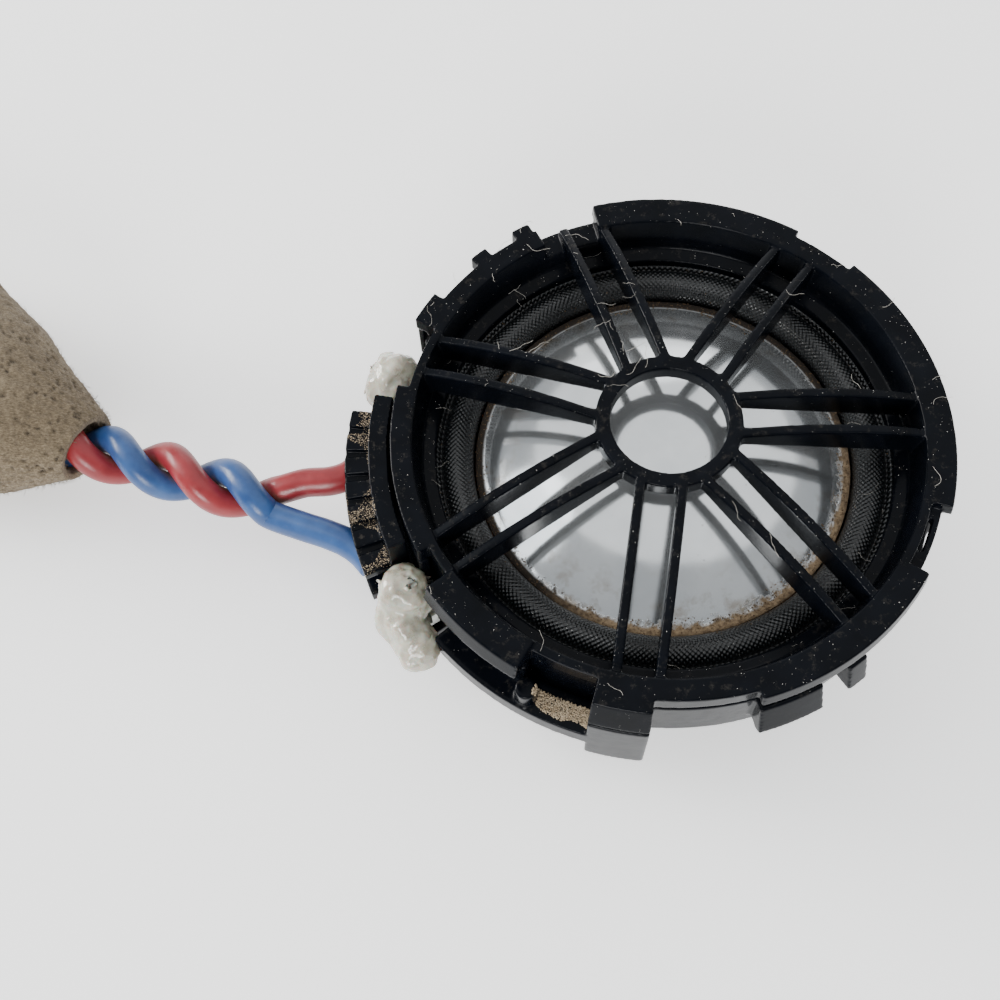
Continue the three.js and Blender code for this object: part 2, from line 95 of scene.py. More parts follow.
LEG = (249.3, 260.6)                                # angles of the small lug and the leg below it
SMALL_LUG_R = 23.2
YOKE_R, YOKE_LOW, YOKE_TOP = span("yoke_cup")
TURN = math.tau


def rad(degrees):
    return math.radians(degrees)


def polar(radius, degrees, height=0.0):
    return Vector((radius * math.cos(rad(degrees)), radius * math.sin(rad(degrees)), height))


# ---- camera ----
def add_camera():
    """A camera at the viewing angle of the reference view, tilted a little about its own axis."""
    eye = Vector((-14.09, -47.56, 106.38)) * MM
    target = Vector((-13.17, -4.74, 14.0)) * MM
    roll = rad(-3.07)
    data = bpy.data.cameras.new("camera")
    data.lens = 48.87
    data.clip_start = 0.005
    camera = bpy.data.objects.new("camera", data)
    bpy.context.collection.objects.link(camera)
    camera.location = eye
    turn = (eye - target).to_track_quat("Z", "Y") @ Quaternion((0, 0, 1), roll)
    camera.rotation_euler = turn.to_euler()
    bpy.context.scene.camera = camera


add_camera()


# ---- mesh helpers: everything is drawn in millimetres and stored in metres ----
def new_object(name, mesh, body="housing"):
    piece = bpy.data.objects.new(name, mesh)
    bpy.context.collection.objects.link(piece)
    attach(piece, body)
    return piece


def smooth_mesh(name, verts, faces):
    mesh = bpy.data.meshes.new(name)
    mesh.from_pydata([tuple(v) for v in verts], [], faces)
    mesh.polygons.foreach_set("use_smooth", [True] * len(mesh.polygons))
    return mesh


def to_metres(mesh):
    co = np.empty(len(mesh.vertices) * 3, np.float32)
    mesh.vertices.foreach_get("co", co)
    mesh.vertices.foreach_set("co", co * MM)
    mesh.update()
    return mesh


class Shape:
    """Closed bodies in millimetres that are gathered and then melted into one moulding."""

    def __init__(self):
        self.verts = []
        self.faces = []

    def add(self, verts, faces):
        base = len(self.verts)
        self.verts += [tuple(v) for v in verts]
        self.faces += [[base + i for i in face] for face in faces]

    def sector(self, profile, start, end, step=1.2):
        """A profile of (radius, height), counter-clockwise, swept from one angle to another."""
        full = end - start >= 360
        steps = max(2, round((end - start) / step))
        angles = [start + (end - start) * i / steps for i in range(steps if full else steps + 1)]
        count = len(profile)
        verts = [polar(r, a, z) for a in angles for r, z in profile]
        faces = []
        for i in range(steps):
            here, there = i * count, (i + 1) % len(angles) * count
            faces += [[here + j, there + j, there + (j + 1) % count, here + (j + 1) % count]
                      for j in range(count)]
        if not full:
            faces += [list(range(count)), list(range(steps * count, (steps + 1) * count))[::-1]]
        self.add(verts, faces)

    def drafted(self, inner, outer, draft, start, end, low, high):
        """A block whose outer side leans in by the draft towards the top."""
        self.sector([(inner, low), (outer, low), (outer - draft, high), (inner, high)], start, end)

    def block(self, inner, outer, start, end, low, high):
        self.sector([(inner, low), (outer, low), (outer, high), (inner, high)], start, end)

    def prism(self, outline, thickness, turn_deg, sideways):
        """An outline of (radius, height) given a thickness across a radial line."""
        along = polar(1, turn_deg)
        across = polar(1, turn_deg + 90)
        verts = []
        for side in (-thickness / 2, thickness / 2):
            verts += [along * r + across * (sideways + side) + Vector((0, 0, z)) for r, z in outline]
        count = len(outline)
        faces = [list(range(count)), list(range(count, 2 * count))[::-1]]
        faces += [[j, j + count, (j + 1) % count + count, (j + 1) % count] for j in range(count)]
        self.add(verts, faces)

    def column(self, centre, radius, length):
        """An upright cylinder that stands on its centre point."""
        sides = 24
        feet = [centre + polar(radius, 360 * j / sides) for j in range(sides)]
        faces = [[j, (j + 1) % sides, sides + (j + 1) % sides, sides + j] for j in range(sides)]
        faces += [list(range(sides))[::-1], list(range(sides, 2 * sides))]
        self.add(feet + [foot + Vector((0, 0, length)) for foot in feet], faces)

    def ball(self, centre, size, turn_deg):
        """An ellipsoid whose first half-width points along an angle."""
        rings = 16
        along, across = polar(1, turn_deg), polar(1, turn_deg + 90)
        verts, faces = [], []
        for i in range(1, rings):
            polar_angle = math.pi * i / rings
            for j in range(2 * rings):
                angle = TURN * j / (2 * rings)
                verts.append(
                    centre + along * size[0] * math.sin(polar_angle) * math.cos(angle)
                    + across * size[1] * math.sin(polar_angle) * math.sin(angle)
                    + Vector((0, 0, size[2] * math.cos(polar_angle))))
        for i in range(rings - 2):
            for j in range(2 * rings):
                a, b = i * 2 * rings + j, i * 2 * rings + (j + 1) % (2 * rings)
                faces.append([a, a + 2 * rings, b + 2 * rings, b])
        faces.append(list(range(2 * rings)))
        faces.append(list(range((rings - 2) * 2 * rings, (rings - 1) * 2 * rings))[::-1])
        self.add(verts, faces)

    def melted(self, name, voxel=0.11, rounds=8):
        """One closed moulding with softly rounded edges, from a voxel remesh of all the bodies."""
        rough = bpy.data.objects.new(name + "_rough", smooth_mesh(name + "_rough", self.verts, self.faces))
        bpy.context.collection.objects.link(rough)
        remesh = rough.modifiers.new("remesh", "REMESH")
        remesh.mode = "VOXEL"
        remesh.voxel_size = voxel
        remesh.use_smooth_shade = True
        soften = rough.modifiers.new("soften", "SMOOTH")
        soften.factor = 0.5
        soften.iterations = rounds
        bpy.context.view_layer.update()
        evaluated = rough.evaluated_get(bpy.context.evaluated_depsgraph_get())
        mesh = bpy.data.meshes.new_from_object(evaluated)
        mesh.name = name
        bpy.data.objects.remove(rough)
        return new_object(name, to_metres(mesh))


def turned(name, profile, steps, body="housing"):
    """A closed body turned about the axis, with a weave map of millimetres round and across."""
    closed_on_axis = profile[0][0] == 0
    count = len(profile)
    verts = [polar(r, 360 * i / steps, z) for i in range(steps) for r, z in profile]
    faces = []
    for i in range(steps):
        here, there = i * count, (i + 1) % steps * count
        for j in range(count - 1 if closed_on_axis else count):
            k = (j + 1) % count
            if profile[j][0] == 0:
                faces.append([here + j, there + k, here + k])
            elif profile[k][0] == 0:
                faces.append([here + j, there + j, here + k])
            else:
                faces.append([here + j, there + j, there + k, here + k])
    mesh = smooth_mesh(name, verts, faces)
    add_weave_map(mesh, profile, steps)
    to_metres(mesh)
    piece = new_object(name, mesh, body)
    if closed_on_axis:
        weld(mesh)
    return piece


def add_weave_map(mesh, profile, steps):
    reach = [0.0]
    for (r0, z0), (r1, z1) in zip(profile, profile[1:]):
        reach.append(reach[-1] + math.hypot(r1 - r0, z1 - z0))
    mean_radius = sum(r for r, _ in profile) / len(profile)
    layer = mesh.uv_layers.new(name="weave")
    count = len(profile)
    around = TURN * mean_radius
    for face in mesh.polygons:
        loops = [(li, *divmod(mesh.loops[li].vertex_index, count)) for li in face.loop_indices]
        wraps = max(i for _, i, _ in loops) - min(i for _, i, _ in loops) > 1
        for li, i, j in loops:
            layer.data[li].uv = (around * ((i or steps) if wraps else i) / steps, reach[j])


def weld(mesh):
    """Joins the points that meet on the axis."""
    bm = bmesh.new()
    bm.from_mesh(mesh)
    bmesh.ops.remove_doubles(bm, verts=bm.verts, dist=1e-7)
    bmesh.ops.recalc_face_normals(bm, faces=bm.faces)
    bm.to_mesh(mesh)
    bm.free()


def smooth_path(points, per_span=6):
    """Catmull-Rom through the points."""
    points = [Vector(p) for p in points]
    ends = [points[0] * 2 - points[1], *points, points[-1] * 2 - points[-2]]
    path = []
    for a, b, c, d in zip(ends, ends[1:], ends[2:], ends[3:]):
        for i in range(per_span):
            t = i / per_span
            path.append(0.5 * (2 * b + (c - a) * t + (2 * a - 5 * b + 4 * c - d) * t * t
                               + (3 * b - a - 3 * c + d) * t ** 3))
    path.append(points[-1])
    return path


def swept(path, radius, sides):
    """Vertices and faces of a round tube along a path, with closed ends."""
    side = (path[1] - path[0]).orthogonal().normalized()
    verts, faces = [], []
    for i, point in enumerate(path):
        ahead = (path[min(i + 1, len(path) - 1)] - path[max(i - 1, 0)]).normalized()
        side = (side - ahead * side.dot(ahead)).normalized()
        over = ahead.cross(side)
        verts += [point + (side * math.cos(TURN * j / sides) + over * math.sin(TURN * j / sides)) * radius
                  for j in range(sides)]
    for i in range(len(path) - 1):
        for j in range(sides):
            a, b = i * sides + j, i * sides + (j + 1) % sides
            faces.append([a, b, b + sides, a + sides])
    faces.append(list(range(sides))[::-1])
    faces.append(list(range((len(path) - 1) * sides, len(path) * sides)))
    return verts, faces


def float_attribute(mesh, name, values):
    mesh.attributes.new(name, "FLOAT", "POINT").data.foreach_set("value", values)


# ---- material helpers ----
def srgb(red, green, blue):
    """A screen colour of 0 to 255 as linear light."""
    def channel(value):
        value /= 255
        return value / 12.92 if value <= 0.04045 else ((value + 0.055) / 1.055) ** 2.4
    return channel(red), channel(green), channel(blue), 1.0


class Finish:
    """A principled material whose textures are laid out in millimetres of the object's own frame."""

    def __init__(self, name, **sockets):
        self.material = bpy.data.materials.new(name)
        self.material.use_nodes = True
        self.tree = self.material.node_tree
        self.shader = self.tree.nodes["Principled BSDF"]
        self.normal = None
        for socket, value in sockets.items():
            self.shader.inputs[socket.replace("_", " ")].default_value = value
        place = self.node("ShaderNodeTexCoord").outputs["Object"]
        self.place = self.vector("MULTIPLY", place, (1000, 1000, 1000))

    def node(self, kind, inputs=None, **settings):
        made = self.tree.nodes.new(kind)
        for key, value in settings.items():
            setattr(made, key, value)
        for key, value in (inputs or {}).items():
            if isinstance(value, bpy.types.NodeSocket):
                self.tree.links.new(value, made.inputs[key])
            else:
                made.inputs[key].default_value = value
        return made

    def vector(self, operation, a, b):
        return self.node("ShaderNodeVectorMath", {0: a, 1: b}, operation=operation).outputs[0]

    def maths(self, operation, a, b=0.0):
        return self.node("ShaderNodeMath", {0: a, 1: b}, operation=operation).outputs[0]

    def noise(self, scale, detail=4.0, rough=0.55, stretch=None):
        place = self.vector("MULTIPLY", self.place, stretch) if stretch else self.place
        return self.node("ShaderNodeTexNoise", {
            "Vector": place, "Scale": scale, "Detail": detail, "Roughness": rough}).outputs[0]

    def cells(self, scale):
        return self.node("ShaderNodeTexVoronoi", {"Vector": self.place, "Scale": scale}).outputs["Distance"]

    def attribute(self, name):
        return self.node("ShaderNodeAttribute", attribute_name=name).outputs["Fac"]

    def ramp(self, factor, *stops):
        made = self.node("ShaderNodeValToRGB", {"Fac": factor})
        elements = made.color_ramp.elements
        while len(elements) < len(stops):
            elements.new(0.5)
        for element, (position, value) in zip(elements, stops):
            element.position = position
            element.color = value if isinstance(value, tuple) else (value, value, value, 1)
        return made.outputs[0]

    def mix(self, factor, a, b):
        made = self.node("ShaderNodeMix", {0: factor, 6: a, 7: b}, data_type="RGBA")
        return made.outputs[2]

    def radius(self):
        flat = self.vector("MULTIPLY", self.place, (1, 1, 0))
        return self.node("ShaderNodeVectorMath", {0: flat}, operation="LENGTH").outputs["Value"]

    def upward(self):
        """How far the surface faces up, from 0 to 1."""
        normal = self.node("ShaderNodeNewGeometry").outputs["Normal"]
        return self.maths("MAXIMUM", self.node("ShaderNodeSeparateXYZ", {0: normal}).outputs["Z"])

    def colour(self, value):
        self.tree.links.new(value, self.shader.inputs["Base Color"])

    def roughness(self, value):
        self.tree.links.new(value, self.shader.inputs["Roughness"])

    def metallic(self, value):
        self.tree.links.new(value, self.shader.inputs["Metallic"])

    def bump(self, height, depth):
        inputs = {"Height": height, "Distance": depth * MM, "Strength": 1.0}
        if self.normal:
            inputs["Normal"] = self.normal
        self.normal = self.node("ShaderNodeBump", inputs).outputs[0]
        self.tree.links.new(self.normal, self.shader.inputs["Normal"])


TAN_DUST = srgb(208, 190, 162)
BROWN_DUST = srgb(162, 142, 114)


def moulded_black(name, dusty):
    """Black plastic with a faint mottle and dust that gathers where it faces up.

    The specular level is far below that of real plastic: it keeps the walls dark over a pale floor.
    """
    finish = Finish(name, Specular_IOR_Level=0.08)
    mottle = finish.noise(0.35, 5)
    body = finish.ramp(mottle, (0.35, srgb(4, 6, 10)), (0.7, srgb(9, 12, 18)))
    film = finish.ramp(finish.noise(1.3, 8, 0.7), (0.56, 0.0), (0.8, dusty))
    film = finish.maths("MULTIPLY", film, finish.upward())
    specks = finish.ramp(finish.cells(2.2), (0.045, 1.0), (0.06, 0.0))
    specks = finish.maths("MULTIPLY", specks, finish.ramp(finish.noise(0.5, 3), (0.5, 0.0), (0.6, 1.0)))
    dust = finish.mix(film, body, srgb(72, 68, 62))
    finish.colour(finish.mix(specks, dust, srgb(190, 188, 180)))
    gloss = finish.ramp(finish.noise(0.9, 6, 0.65), (0.3, 0.16), (0.75, 0.28))
    finish.roughness(finish.mix(film, gloss, (0.75, 0.75, 0.75, 1)))
    finish.bump(finish.noise(0.6, 2), 0.012)
    finish.bump(finish.noise(9, 3), 0.0015)
    return finish.material


def dome_metal():
    """Bright thin metal, nearly a mirror, with faint stains, and a crust of tan dust on its glued edge; away
    from the front right the crust is painted dark brown as painted shade.
    """
    finish = Finish("dome_metal")
    outward = finish.maths("DIVIDE", finish.radius(), DOME_R)
    toward_front_right = finish.node("ShaderNodeVectorMath", {0: finish.place, 1: (0.032, -0.058, 0)},
                          operation="DOT_PRODUCT").outputs["Value"]
    clean = finish.ramp(finish.noise(0.2, 3), (0.3, srgb(212, 216, 218)), (0.7, srgb(228, 231, 232)))
    near_edge = finish.ramp(outward, (0.7, 0.0), (1.0, 0.8))
    blotch = finish.ramp(finish.noise(0.5, 8, 0.68), (0.52, 0.0), (0.72, 1.0))
    stain = finish.maths("MULTIPLY", blotch, near_edge)
    colour = finish.mix(stain, clean, srgb(150, 132, 104))
    ragged = finish.maths("MULTIPLY", finish.noise(1.4, 8, 0.7), 0.2)
    reach = finish.maths("ADD", outward, finish.maths("ADD", ragged, finish.maths("MULTIPLY", toward_front_right, 0.03)))
    crust = finish.ramp(finish.maths("SUBTRACT", reach, 0.5), (0.6, 0.0), (0.632, 1.0))
    glued = finish.ramp(finish.maths("SUBTRACT", outward, 0.5), (0.497, 0.0), (0.512, 1.0))
    crust = finish.maths("MAXIMUM", crust, glued)
    tan = finish.ramp(finish.noise(2.6, 6, 0.7), (0.35, srgb(92, 74, 54)), (0.65, srgb(176, 152, 120)))
    # painted shade: the tan dust crust is painted dark brown away from the front right
    crust_tan_and_shade = finish.mix(finish.ramp(toward_front_right, (0.25, 1.0), (0.6, 0.0)), tan, srgb(44, 36, 28))
    colour = finish.mix(crust, colour, crust_tan_and_shade)
    specks = finish.ramp(finish.cells(1.1), (0.04, 1.0), (0.05, 0.0))
    specks = finish.maths("MULTIPLY", specks, finish.ramp(finish.noise(0.4, 2), (0.45, 0.0), (0.5, 1.0)))
    finish.colour(finish.mix(specks, colour, srgb(46, 36, 30)))
    finish.metallic(finish.ramp(finish.maths("MAXIMUM", crust, specks), (0.2, 0.86), (0.8, 0.0)))
    satin = finish.ramp(finish.noise(0.5, 5), (0.3, 0.1), (0.75, 0.15))
    finish.roughness(finish.mix(crust, satin, (0.9, 0.9, 0.9, 1)))
    finish.bump(finish.noise(0.25, 2), 0.012)
    finish.bump(finish.maths("MULTIPLY", finish.noise(5, 5), crust), 0.04)
    return finish.material


def surround_textile():
    """Coated black cloth: staggered thread tops, painted lighter than the black between them as a painted
    highlight, with a little grey dust.
    """
    finish = Finish("surround_textile", Specular_IOR_Level=0.6)
    weave = finish.node("ShaderNodeUVMap", uv_map="weave").outputs[0]
    split = finish.node("ShaderNodeSeparateXYZ", {0: weave})
    per_mm = TURN / THREAD_PITCH
    along = finish.maths("COSINE", finish.maths("MULTIPLY", split.outputs["X"], per_mm))
    over = finish.maths("COSINE", finish.maths("MULTIPLY", split.outputs["Y"], per_mm))
    threads = finish.maths("MULTIPLY", along, over)
    # painted highlight: the thread tops are painted a lighter grey than the black cloth around them
    body = finish.ramp(threads, (0.3, srgb(4, 5, 6)), (0.9, srgb(36, 42, 45)))
    dust = finish.ramp(finish.noise(1.1, 8, 0.7), (0.58, 0.0), (0.82, 0.35))
    specks = finish.ramp(finish.cells(3.2), (0.06, 1.0), (0.08, 0.0))
    specks = finish.maths("MULTIPLY", specks, finish.ramp(finish.noise(0.8, 3), (0.55, 0.0), (0.62, 1.0)))
    colour = finish.mix(dust, body, srgb(62, 64, 60))
    finish.colour(finish.mix(specks, colour, srgb(186, 186, 178)))
    finish.roughness(finish.ramp(finish.noise(2, 4), (0.3, 0.2), (0.7, 0.38)))
    finish.bump(threads, 0.032)
    finish.bump(finish.noise(4, 3), 0.02)
    return finish.material


def insulation(name, deep, pale):
    """Satin PVC, a little mottled, with tan grime in the creases and in scattered scuffs."""
    finish = Finish(name, Subsurface_Weight=0.06, Subsurface_Scale=0.001)
    body = finish.ramp(finish.noise(0.4, 4), (0.3, deep), (0.75, pale))
    crease = finish.maths("MULTIPLY", finish.attribute("grime"),
                          finish.ramp(finish.noise(0.9, 8, 0.7), (0.38, 0.0), (0.58, 1.0)))
    scuff = finish.ramp(finish.noise(1.6, 9, 0.75), (0.62, 0.0), (0.8, 0.5))
    grime = finish.maths("MAXIMUM", crease, scuff)
    finish.colour(finish.mix(grime, body, srgb(128, 106, 84)))
    finish.roughness(finish.ramp(finish.noise(0.8, 5), (0.3, 0.28), (0.75, 0.42)))
    finish.bump(finish.noise(0.7, 3), 0.04)
    finish.bump(finish.noise(7, 4), 0.004)
    return finish.material


def wrap_felt():
    """Needled brown felt: pale fibres on top, with the small pits between them painted dark as painted shade.
    """
    finish = Finish("wrap_felt", Roughness=1.0, Sheen_Weight=0.12, Sheen_Roughness=0.5)
    pits = finish.attribute("pits")
    tone = finish.ramp(finish.noise(0.22, 5), (0.3, srgb(106, 91, 69)), (0.7, srgb(130, 114, 90)))
    threads = finish.noise(4, 8, 0.75, (1, 2.4, 1))
    fibres = finish.ramp(threads, (0.38, srgb(60, 48, 33)), (0.66, srgb(176, 158, 128)))
    blended = finish.mix(0.55, tone, fibres)
    # painted shade: the pits are painted a near-black brown
    finish.colour(finish.mix(pits, blended, srgb(44, 34, 23)))
    finish.bump(finish.noise(5, 8, 0.8, (1, 2.2, 1)), 0.16)
    return finish.material


def hot_glue():
    """Whitish translucent hot-melt glue with brown dirt in scattered patches."""
    finish = Finish("hot_glue", Subsurface_Weight=0.4, Subsurface_Scale=0.0012, Coat_Weight=0.5,
                    Coat_Roughness=0.1, Transmission_Weight=0.3)
    body = finish.ramp(finish.noise(0.5, 5), (0.3, srgb(174, 171, 154)), (0.7, srgb(220, 216, 198)))
    dirt = finish.ramp(finish.noise(0.9, 9, 0.75), (0.52, 0.0), (0.74, 0.8))
    grains = finish.ramp(finish.cells(2.6), (0.1, 1.0), (0.14, 0.0))
    grains = finish.maths("MULTIPLY", grains, dirt)
    colour = finish.mix(dirt, body, srgb(128, 108, 82))
    finish.colour(finish.mix(grains, colour, srgb(52, 40, 28)))
    finish.roughness(finish.ramp(dirt, (0.2, 0.22), (0.8, 0.6)))
    finish.bump(finish.noise(0.9, 4), 0.12)
    return finish.material


def plain_finish(name, dark, light, scale, rough, metallic=0.0, stretch=None, depth=0.01):
    """A finish of two close tones with its own grain, for the pieces that are mostly hidden."""
    finish = Finish(name, Metallic=metallic)
    grain = finish.noise(scale, 6, 0.6, stretch)
    finish.colour(finish.ramp(grain, (0.3, dark), (0.7, light)))
    finish.roughness(finish.ramp(finish.noise(scale * 0.4, 4), (0.3, rough * 0.8), (0.7, rough * 1.3)))
    finish.bump(grain, depth)
    return finish.material


def dust_material(name, dark, light):
    finish = Finish(name, Roughness=0.95)
    finish.colour(finish.ramp(finish.noise(2.5, 5, 0.7), (0.35, dark), (0.7, light)))
    finish.bump(finish.noise(12, 4), 0.02)
    return finish.material


BLACK = moulded_black("black_moulding", 0.5)
WORN_BLACK = moulded_black("worn_black", 0.9)
DOME = dome_metal()
TEXTILE = surround_textile()
RED_PVC = insulation("red_pvc", srgb(122, 30, 34), srgb(154, 48, 52))
BLUE_PVC = insulation("blue_pvc", srgb(30, 62, 112), srgb(50, 88, 142))
FELT = wrap_felt()
GLUE = hot_glue()
INNER_PLASTIC = plain_finish("inner_plastic", srgb(30, 31, 33), srgb(46, 47, 50), 3, 0.42)
STEEL = plain_finish("plated_steel", srgb(150, 152, 154), srgb(186, 188, 188), 1.5, 0.3, 1.0, (1, 8, 1))
NICKEL = plain_finish("nickel_plating", srgb(164, 163, 158), srgb(188, 187, 182), 1, 0.22, 1.0)
COPPER = plain_finish("winding_copper", srgb(150, 82, 46), srgb(190, 112, 66), 2, 0.3, 1.0, (1, 1, 14), 0.03)
FILM = plain_finish("polyimide_film", srgb(128, 70, 22), srgb(164, 96, 36), 1, 0.3)
TIN = plain_finish("tinned_metal", srgb(158, 160, 156), srgb(196, 197, 192), 2, 0.32, 1.0)
DAMPING = plain_finish("damping_felt", srgb(28, 28, 30), srgb(52, 52, 54), 6, 0.95, 0.0, None, 0.1)
TAN = dust_material("tan_dust", BROWN_DUST, TAN_DUST)
BROWN = dust_material("brown_dust", srgb(66, 50, 34), srgb(142, 118, 88))
PALE = dust_material("pale_dust", srgb(150, 148, 142), srgb(214, 212, 206))
LINT = dust_material("lint", srgb(128, 124, 116), srgb(206, 202, 194))


def wear(piece, material):
    piece.data.materials.clear()
    piece.data.materials.append(material)
    return piece


# ---- twisted lead, laid where its CAD tubes lie ----
PAIR_POINT = Vector((-38.4, 2.85, 6.5))
PAIR_DIR = Vector((0.93, -0.367, 0)).normalized()
PAIR_SIDE = Vector((-PAIR_DIR.y, PAIR_DIR.x, 0))
TWIST_START = -3.25 * TWIST_PITCH
TWIST_END = 0.75 * TWIST_PITCH
PLUG_SIDE = 2.2
RED_RUN = [
    (-28.8, 1.4, 6.8), (-26.8, 1.3, 7), (-25.3, 1.7, 7), (-24.2, 2.6, 7), (-23.5, 3.8, 7), (-23.2, 5, 7)]
BLUE_RUN = [(-29.1, -2.4, 6.7), (-27.2, -3.3, 6.9), (-25.6, -4.2, 7), (-24.4, -5.2, 7), (-23.5, -6.4, 7)]


def on_pair(along, sideways=0.0, up=0.0):
    return PAIR_POINT + PAIR_DIR * along + PAIR_SIDE * sideways + Vector((0, 0, up))


def wire_path(phase, plug_side, run):
    points = [on_pair(-44.5, plug_side), on_pair(-42.3, plug_side)]
    points.append(on_pair(-38, math.copysign(TWIST_R, plug_side)))
    count = round((TWIST_END - TWIST_START) / TWIST_PITCH * 12)
    for i in range(count + 1):
        along = TWIST_START + (TWIST_END - TWIST_START) * i / count
        angle = phase + TURN * along / TWIST_PITCH
        points.append(on_pair(along, TWIST_R * math.cos(angle), TWIST_R * math.sin(angle)))
    return smooth_path(points + run)


def nearest_gap(point, path):
    return min((point - other).length for other in path)


def wire(colour, path, other, material):
    verts, faces = swept(path, WIRE_D / 2, 24)
    mesh = smooth_mesh("lead_" + colour, verts, faces)
    sparse = other[::2]
    gaps = [nearest_gap(v, sparse) - WIRE_D / 2 for v in verts]
    float_attribute(mesh, "grime", [max(0.0, 1 - gap / 0.55) for gap in gaps])
    piece = new_object("lead_" + colour, to_metres(mesh))
    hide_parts("wire_" + colour)
    return wear(piece, material)


# ---- plug ----
PLUG_FRONT, PLUG_BACK, PLUG_WIDTH, PLUG_LOW, PLUG_HIGH = -59, -45, 9.6, 3.4, 9.6


def pair_box(shape, start, end, width, low, high, sideways=0.0):
    corners = [on_pair(a, sideways + s * width / 2, z - PAIR_POINT.z)
               for a in (start, end) for s in (-1, 1) for z in (low, high)]
    shape.add(corners, [[0, 1, 3, 2], [4, 6, 7, 5], [0, 4, 5, 1], [2, 3, 7, 6], [0, 2, 6, 4], [1, 5, 7, 3]])


def plug():
    """A two-way housing: four walls and a web round two cavities, ribs and a latch ramp."""
    shape = Shape()
    half = PLUG_WIDTH / 2
    pair_box(shape, PLUG_FRONT, PLUG_BACK, PLUG_WIDTH, PLUG_LOW, PLUG_LOW + 1.3)
    pair_box(shape, PLUG_FRONT, PLUG_BACK, PLUG_WIDTH, PLUG_HIGH - 1.5, PLUG_HIGH)
    for side in (-1, 1):
        pair_box(shape, PLUG_FRONT, PLUG_BACK, 1.15, PLUG_LOW, PLUG_HIGH, side * (half - 0.575))
        pair_box(shape, PLUG_FRONT + 8, PLUG_BACK - 1, 0.6, PLUG_LOW + 1, PLUG_HIGH - 1, side * half)
    pair_box(shape, PLUG_FRONT, PLUG_BACK, 1.5, PLUG_LOW, PLUG_HIGH)
    pair_box(shape, PLUG_FRONT + 3, PLUG_FRONT + 7, 3, PLUG_HIGH - 0.5, PLUG_HIGH + 0.9)
    piece = shape.melted("connector_shell", 0.16, 3)
    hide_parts("connector_housing")
    return wear(piece, INNER_PLASTIC)


# ---- felt wrap ----
# Stations: distance along the axis, offset sideways, half width, half height, height of the centre.
FELT_STATIONS = [
    (-8.5, 0, 3.05, 3.0, 6.5), (-10.5, 0.2, 4.1, 3.9, 6.4), (-13.5, 0.5, 5.9, 5.2, 6.35),
    (-17, 1.1, 8, 6, 6.3), (-24, 2.6, 10.4, 6.2, 6.3), (-34, 3, 11.2, 6.2, 6.3),
    (-42, 2.5, 10.8, 6.2, 6.3), (-50, 1.4, 9.6, 5.8, 6.3)]
FELT_MOUTH = 0.5
FELT_THICK = 1.4


def felt_stations(count):
    """The stations resampled along the wrap."""
    table = np.array(FELT_STATIONS)
    where = np.linspace(0, len(table) - 1, count)
    columns = [np.interp(where, range(len(table)), table[:, k]) for k in range(5)]
    smoothed = []
    for column in columns:
        padded = np.concatenate([[column[0]] * 3, column, [column[-1]] * 3])
        smoothed.append(np.convolve(padded, np.ones(7) / 7, "valid"))
    return list(zip(*smoothed))


def felt_surface(station, angle, inset):
    along, sideways, wide, tall, centre = station
    along -= 0.7 * (1 - math.cos(angle))
    lift = 1 - 0.1 * max(0.0, -math.sin(angle)) ** 2
    return on_pair(along, sideways + (wide - inset) * math.cos(angle),
                   centre - PAIR_POINT.z + (tall * lift - inset) * math.sin(angle))


def felt_wrap():
    """A wound sheet: outer skin, rolled mouth and inner skin as one closed tube, pitted and uneven."""
    around, lengthways = 300, 190
    outer = felt_stations(lengthways)
    rows = [(s, 0.0) for s in outer[::-1]]
    rows += [(outer[0], FELT_MOUTH * t) for t in (0.25, 0.6)]
    rows += [(s, FELT_MOUTH + (FELT_THICK - FELT_MOUTH) * min(1, i / 20))
             for i, s in enumerate(outer[:lengthways // 3])]
    verts, pits = [], []
    for station, inset in rows:
        for j in range(around):
            angle = TURN * j / around
            point = felt_surface(station, angle, inset)
            pit = felt_pit(point)
            outward = (point - felt_surface(station, angle, inset + 0.5)).normalized()
            wave = 0.35 * noise.noise(point * 0.16) + 0.12 * noise.noise(point * 1.6)
            verts.append(point + outward * (wave - 0.22 * pit - 0.1))
            pits.append(pit)
    faces = []
    for i in range(len(rows) - 1):
        for j in range(around):
            a, b = i * around + j, i * around + (j + 1) % around
            faces.append([a, b, b + around, a + around])
    mesh = smooth_mesh("felt_sleeve", verts, faces)
    # the pit values go to the felt material, which paints the pits dark as shade
    float_attribute(mesh, "pits", pits)
    piece = new_object("felt_sleeve", to_metres(mesh))
    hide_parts("felt_wrap")
    return wear(piece, FELT)


def felt_pit(point):
    """Small pits between the fibres, longer along the wrap than across; the wrap sinks at them, and their
    dark colour is painted shade.
    """
    along = (point - PAIR_POINT).dot(PAIR_DIR)
    across = (point - PAIR_POINT).dot(PAIR_SIDE)
    drift = 0.5 * noise.noise(point * 0.9)
    stretched = Vector((along * 1.5 + drift, across * 2.1 + drift, point.z * 2.1))
    distances, _ = noise.voronoi(stretched)
    keep = 0.6 + 0.8 * noise.noise(point * 0.7 + Vector((7, 3, 1)))
    return max(0.0, min(1.0, (1 - distances[0] / 0.46) * keep * 1.2))


# ---- front grille ----
LUGS = [(53.5, 99.5), (-21.5, 39.5), (-79, -36.6)]
RIM_STRETCHES = [(-110.7, -36.6), (-21.5, 99.6), (113.5, 148), (164, 203.5), (210.5, 234.7)]
RECESS = (-36.6, -21.5)                             # where the rim's outer part is sunk
RECESS_DEPTH = 0.9
SLOT = (-32, -24)                                   # narrow slot through the rim in the recess
NIBS = [(114.2, 118.4), (125.2, 129.2), (140.6, 148)]


